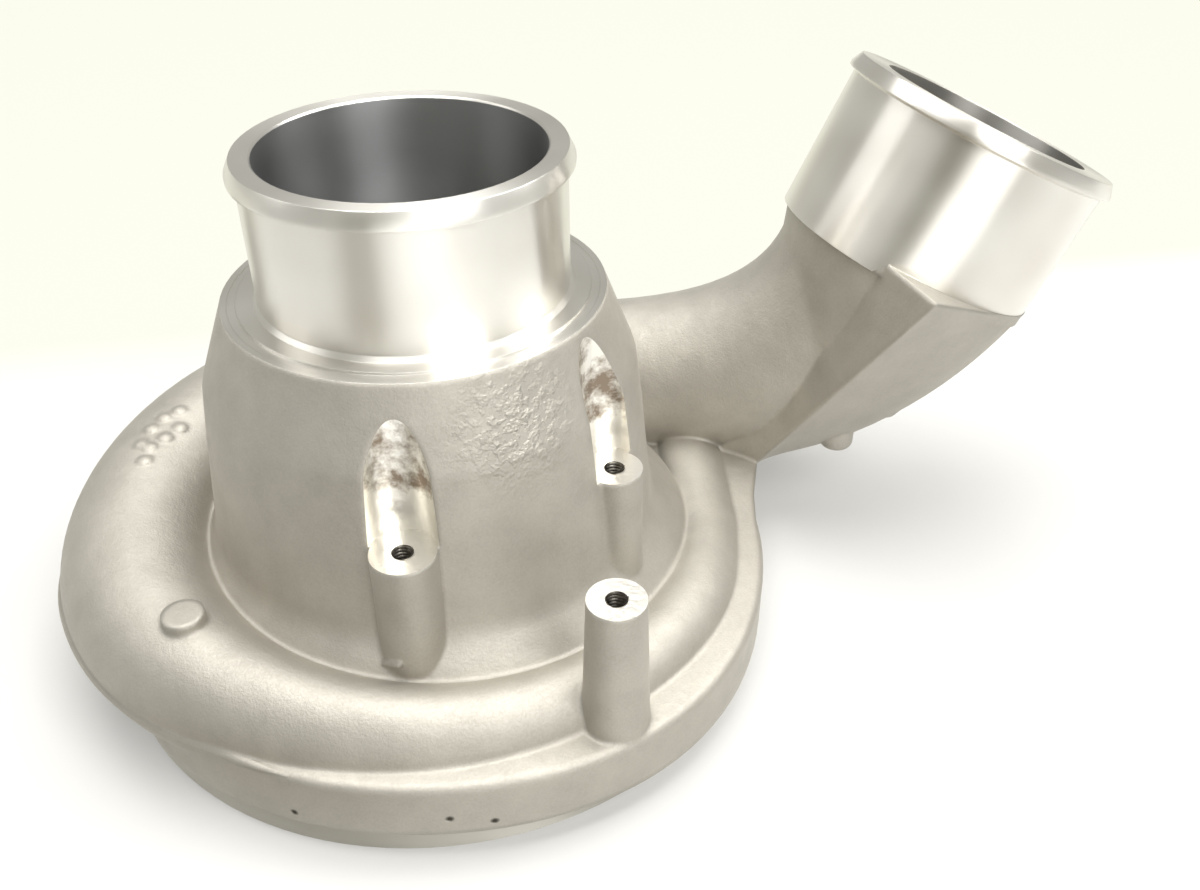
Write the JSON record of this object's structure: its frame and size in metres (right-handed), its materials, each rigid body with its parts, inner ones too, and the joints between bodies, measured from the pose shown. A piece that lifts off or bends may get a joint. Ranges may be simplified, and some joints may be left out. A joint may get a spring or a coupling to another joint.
{
  "type": "turbocharger compressor housing",
  "caption": "Cast aluminium volute housing with an axial inlet spigot, a tapered barrel, tapped bosses and a bent outlet duct with a beaded hose end.",
  "frame": {"origin": "on the wheel's axis, in the joint face that meets the backplate", "axes": "+Z along the wheel's axis towards the inlet, +X towards the outlet duct's side"},
  "size_m": [0.3936, 0.254, 0.187],
  "materials": {
    "cast_aluminium": "sand cast, with the spigots, shoulder, bosses and joint band machined bright"
  },
  "bodies": {
    "root": {"compressor_housing": "cast_aluminium"}
  },
  "joints": []
}
